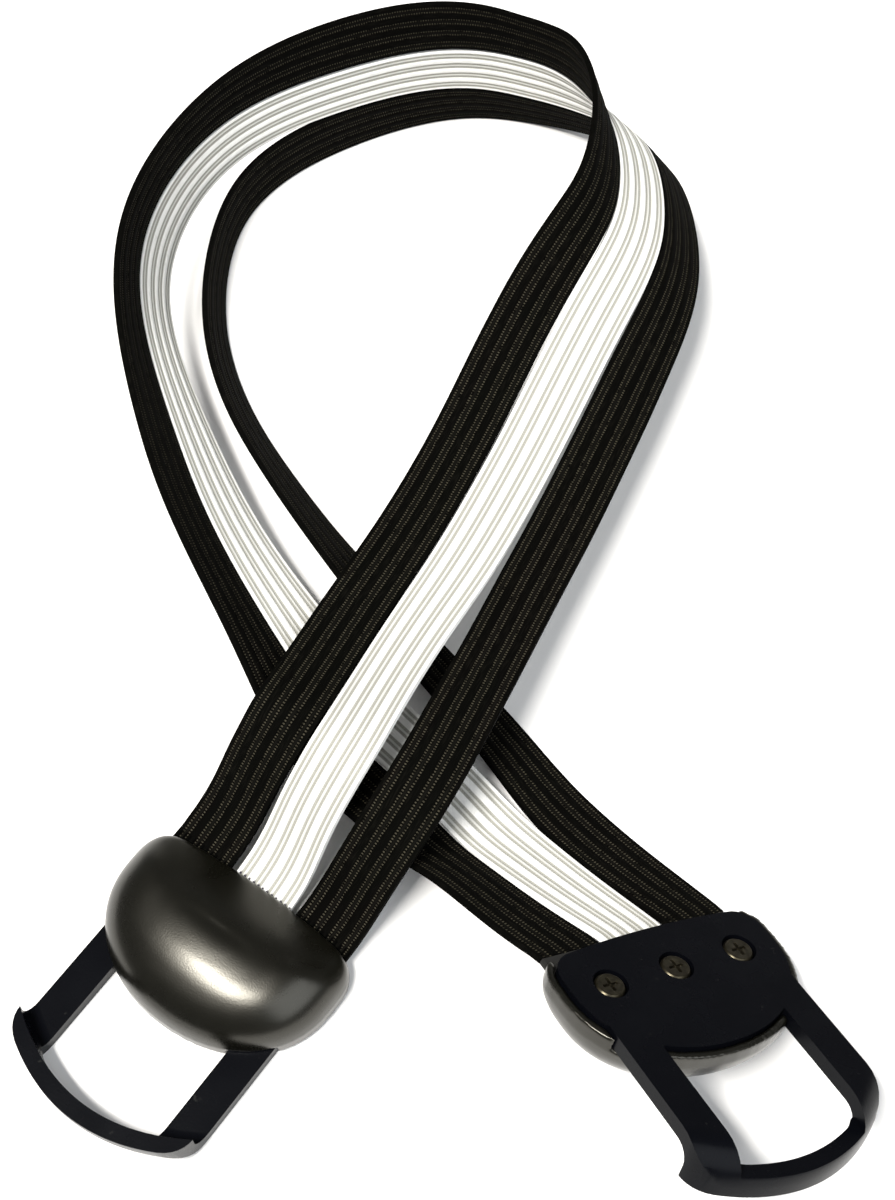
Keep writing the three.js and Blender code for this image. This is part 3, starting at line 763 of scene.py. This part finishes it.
# %% Rounded copies
MERGE_UNDER = 0.000004
FLAT_UNDER = math.radians(0.4)
SHARP_FROM = math.radians(38)
SMOOTH_UNDER = math.radians(34)
PLATE_EDGE = (0.0006, 3)
SCREW_EDGE = (0.00012, 2)
FLAT_FACE_WEIGHT = 100


def skin_copy(node, name):
    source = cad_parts[node]
    piece = bpy.data.objects.new(name, source.data.copy())
    bpy.context.scene.collection.objects.link(piece)
    only(piece)
    bpy.ops.object.mode_set(mode="EDIT")
    bpy.ops.mesh.select_all(action="SELECT")
    bpy.ops.mesh.remove_doubles(threshold=MERGE_UNDER)
    bpy.ops.object.mode_set(mode="OBJECT")
    return piece


def rounded_copy(node, name, edge, body):
    piece = skin_copy(node, name)
    bpy.ops.object.mode_set(mode="EDIT")
    bpy.ops.mesh.dissolve_limited(angle_limit=FLAT_UNDER)
    bpy.ops.object.mode_set(mode="OBJECT")
    bevel = piece.modifiers.new("edge", "BEVEL")
    bevel.width, bevel.segments = edge
    bevel.limit_method = "ANGLE"
    bevel.angle_limit = SHARP_FROM
    bpy.ops.object.modifier_apply(modifier=bevel.name)
    bpy.ops.object.shade_smooth_by_angle(angle=SMOOTH_UNDER)
    flat = piece.modifiers.new("flat_faces", "WEIGHTED_NORMAL")
    flat.mode = "FACE_AREA"
    flat.weight = FLAT_FACE_WEIGHT
    flat.keep_sharp = True
    bpy.ops.object.modifier_apply(modifier=flat.name)
    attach(piece, body)
    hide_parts(node)
    print(name, "faces", len(piece.data.polygons))
    return piece


plates, screws = [], []
for end, body in (("a", "strap"), ("b", "end_b")):
    plate = f"end_{end}_hook_plate"
    plates.append(rounded_copy(plate, f"moulded_hook_plate_{end}", PLATE_EDGE, body))
    for k in (1, 2, 3):
        screw = f"end_{end}_screw_{k}"
        screws.append(rounded_copy(screw, f"steel_screw_{end}_{k}", SCREW_EDGE, body))

# %% [markdown]
# ## Soft domes
#
# The cover's crest is one soft swell, and its solid has a plain ridge line there, drawn with
# long thin triangles that can't be relaxed evenly. So its copy gets a Remesh modifier first,
# which wraps the same form in small even faces and rounds every edge by half a millimetre, as a
# mould does. Then the dome's outer vertices, those whose normals point away from the inside,
# are relaxed with Smooth Vertices until the ridge and its two ends flow into the dome.

# %% Covers
PLACE_OF_END = {"a": (TURN_A, END_A), "b": (TURN_B, END_B)}
INSIDE = Vector((0, 4, 7)) / 1000
DOME_FROM = 0.0055
VOXEL = 0.00055
RELAX_STEP = 0.5
OVERALL_ROUNDS = 2
DOME_ROUNDS = 40
COVER_SMOOTH_UNDER = math.radians(60)


def select_dome(piece, end):
    turn_of_end, place = PLACE_OF_END[end]
    back = turn_of_end.transposed()
    chosen = 0
    for v in piece.data.vertices:
        local = back @ (v.co - place - ORIGIN_SHIFT)
        outside = (back @ v.normal).dot(local - INSIDE) > 0
        v.select = local.z > DOME_FROM and outside
        chosen += v.select
    return chosen


def soft_cover(node, name, body, end):
    piece = skin_copy(node, name)
    remesh = piece.modifiers.new("even_faces", "REMESH")
    remesh.mode = "VOXEL"
    remesh.voxel_size = VOXEL
    only(piece)
    bpy.ops.object.modifier_apply(modifier=remesh.name)
    bpy.ops.object.mode_set(mode="EDIT")
    bpy.ops.mesh.select_mode(type="VERT")
    bpy.ops.mesh.select_all(action="SELECT")
    bpy.ops.mesh.vertices_smooth(factor=RELAX_STEP, repeat=OVERALL_ROUNDS)
    bpy.ops.mesh.select_all(action="DESELECT")
    bpy.ops.object.mode_set(mode="OBJECT")
    chosen = select_dome(piece, end)
    bpy.ops.object.mode_set(mode="EDIT")
    bpy.ops.mesh.vertices_smooth(factor=RELAX_STEP, repeat=DOME_ROUNDS)
    bpy.ops.object.mode_set(mode="OBJECT")
    bpy.ops.object.shade_smooth_by_angle(angle=COVER_SMOOTH_UNDER)
    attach(piece, body)
    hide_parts(node)
    print(name, "faces", len(piece.data.polygons), "relaxed", chosen)
    return piece


covers = [
    soft_cover("end_a_cover", "moulded_cover_a", "strap", "a"),
    soft_cover("end_b_cover", "moulded_cover_b", "end_b", "b"),
]

# %% [markdown]
# ## Satin plastic for the covers
#
# The cover is a nearly black, slightly warm plastic with a satin skin: one long highlight lies
# along the crest of the dome and fades out in fine speckles. A very fine noise bump gives the
# moulded grain that breaks the highlight up, and a second, broader noise varies the gloss as
# handling does. A few pale scuffs come from the peaks of a third noise. The hook plates are the
# same plastic with a cooler, less shiny skin and more scuffs.


# %% Moulded plastic
SCUFF = (0.02, 0.02, 0.018, 1)
HANDLING = (90.0, 4.0, 0.5)
MARKS = (320.0, 6.0, 0.7)
GRAIN_DETAIL = 2.0
GRAIN_ROUGHNESS = 0.5
GRAIN_STRENGTH = 0.35
LIGHTER = 1.35
SCUFF_RISE = (0.64, 0.76)
SCUFF_DULLS = 0.2


def solid_noise(tree, place, scale, detail, roughness):
    noise = add(tree, "ShaderNodeTexNoise")
    noise.inputs["Scale"].default_value = scale
    noise.inputs["Detail"].default_value = detail
    noise.inputs["Roughness"].default_value = roughness
    tree.links.new(place, noise.inputs["Vector"])
    return noise.outputs["Fac"]


def spread(tree, value, low, high):
    reach = add(tree, "ShaderNodeMapRange")
    reach.inputs["To Min"].default_value = low
    reach.inputs["To Max"].default_value = high
    tree.links.new(value, reach.inputs["Value"])
    return reach.outputs["Result"]


def moulded_plastic(name, colour, roughness, grain, specular, tint, scuffs):
    material, tree, shader = new_material(name)
    place = add(tree, "ShaderNodeTexCoord").outputs["Object"]
    handled = solid_noise(tree, place, *HANDLING)
    lighter = tuple(c * LIGHTER for c in colour[:3]) + (1,)
    skin = mix_colour(tree, handled, colour, lighter)
    marks = smooth_step(tree, solid_noise(tree, place, *MARKS), *SCUFF_RISE)
    scuffed = math_node(tree, "MULTIPLY", marks, scuffs)
    tree.links.new(mix_colour(tree, scuffed, skin, SCUFF), shader.inputs["Base Color"])
    duller = math_node(tree, "MULTIPLY", scuffed, SCUFF_DULLS)
    dulled = math_node(tree, "ADD", spread(tree, handled, *roughness), duller)
    tree.links.new(dulled, shader.inputs["Roughness"])
    grain_scale, grain_depth = grain
    bump = add(tree, "ShaderNodeBump")
    bump.inputs["Strength"].default_value = GRAIN_STRENGTH
    bump.inputs["Distance"].default_value = grain_depth
    fine = solid_noise(tree, place, grain_scale, GRAIN_DETAIL, GRAIN_ROUGHNESS)
    tree.links.new(fine, bump.inputs["Height"])
    tree.links.new(bump.outputs[0], shader.inputs["Normal"])
    shader.inputs["Specular IOR Level"].default_value = specular
    shader.inputs["Specular Tint"].default_value = tint
    return material


# %% Cover and plate plastic
cover_plastic = moulded_plastic(
    "cover_plastic",
    colour=(0.0022, 0.0021, 0.0013, 1),
    roughness=(0.24, 0.32),
    grain=(2400.0, 0.00005),
    specular=0.56,
    tint=(1.0, 0.97, 0.87, 1),
    scuffs=0.25,
)
plate_plastic = moulded_plastic(
    "hook_plate_plastic",
    colour=(0.0015, 0.0017, 0.0026, 1),
    roughness=(0.22, 0.32),
    grain=(1800.0, 0.00004),
    specular=0.08,
    tint=(0.95, 0.97, 1.0, 1),
    scuffs=0.6,
)
print("plastics:", cover_plastic.name, plate_plastic.name)

# %% [markdown]
# ## Dark steel for the screws
#
# The screws are plated steel that has gone dull and brown, so they are metallic with a dark
# colour and a soft mottle in both colour and gloss. The mottle is one noise, shared by the two,
# because a darker spot on old plating is usually a duller one too.

# %% Screw steel
ZINC_DARK = (0.014, 0.012, 0.008, 1)
ZINC_PALE = (0.08, 0.07, 0.045, 1)
ZINC_MOTTLE = (700.0, 2.0, 0.5)
ZINC_ROUGHNESS = (0.22, 0.42)
ZINC_METALLIC = 0.9


def screw_steel():
    material, tree, shader = new_material("dark_zinc_steel")
    place = add(tree, "ShaderNodeTexCoord").outputs["Object"]
    mottle = solid_noise(tree, place, *ZINC_MOTTLE)
    tree.links.new(spread(tree, mottle, *ZINC_ROUGHNESS), shader.inputs["Roughness"])
    tree.links.new(mix_colour(tree, mottle, ZINC_DARK, ZINC_PALE), shader.inputs["Base Color"])
    shader.inputs["Metallic"].default_value = ZINC_METALLIC
    return material


zinc_steel = screw_steel()
for pieces, material, slot in (
    (covers, cover_plastic, "cover"),
    (plates, plate_plastic, "hook_plate"),
    (screws, zinc_steel, "screw"),
):
    for piece in pieces:
        piece.data.materials.clear()
        piece.data.materials.append(material)
print("dressed", len(covers), "covers,", len(plates), "hook plates,", len(screws), "screws")

# %% [markdown]
# ## Floor and light
#
# The strap lies on a plain pale surface that the light nearly burns out. The key light is a long
# slim panel, slightly warm, that stands above and on end A's side with its length along that
# end's crest: it draws the long highlight there and throws the shadows up and to the right. A
# broad weak fill on the other side keeps the shadows open, and the world is kept dim, so that
# black plastic and black yarn stay black.

# %% Floor
FLOOR_SIZE = 6.0
FLOOR_DROP = 0.0002
FLOOR_COLOUR = (0.93, 0.93, 0.93, 1)
FLOOR_ROUGHNESS = 0.7

bpy.ops.object.select_all(action="DESELECT")
bpy.ops.mesh.primitive_plane_add(size=FLOOR_SIZE, location=(0, 0, -FLOOR_DROP))
floor = bpy.context.active_object
floor.name = "floor"
floor_material, floor_tree, floor_shader = new_material("pale_floor")
floor_shader.inputs["Base Color"].default_value = FLOOR_COLOUR
floor_shader.inputs["Roughness"].default_value = FLOOR_ROUGHNESS
floor.data.materials.append(floor_material)
print("floor:", FLOOR_SIZE, "m wide,", FLOOR_DROP * 1000, "mm below the strap")

# %% World and lights
WORLD_STRENGTH = 0.17

world = bpy.data.worlds.new("bright_room")
world.use_nodes = True
background = world.node_tree.nodes["Background"]
background.inputs["Color"].default_value = (1.0, 1.0, 1.0, 1)
background.inputs["Strength"].default_value = WORLD_STRENGTH
bpy.context.scene.world = world
bpy.context.scene.view_settings.view_transform = "Standard"


def soft_light(name, place, aim, size, power, colour):
    data = bpy.data.lights.new(name, "AREA")
    data.shape = "RECTANGLE"
    data.size, data.size_y = size
    data.energy = power
    data.color = colour
    light = bpy.data.objects.new(name, data)
    light.location = place
    light.rotation_euler = (Vector(aim) - Vector(place)).to_track_quat("-Z", "Y").to_euler()
    bpy.context.scene.collection.objects.link(light)


soft_light(
    "key_light",
    place=(-0.28, -0.68, 2.09),
    aim=(-0.06, 0.0, 0),
    size=(0.95, 0.28),
    power=88.0,
    colour=(1, 0.97, 0.92),
)
soft_light(
    "fill_light",
    place=(1.1, -0.1, 1.1),
    aim=(-0.05, 0.1, 0),
    size=(1.4, 1.4),
    power=16.0,
    colour=(0.94, 0.97, 1),
)
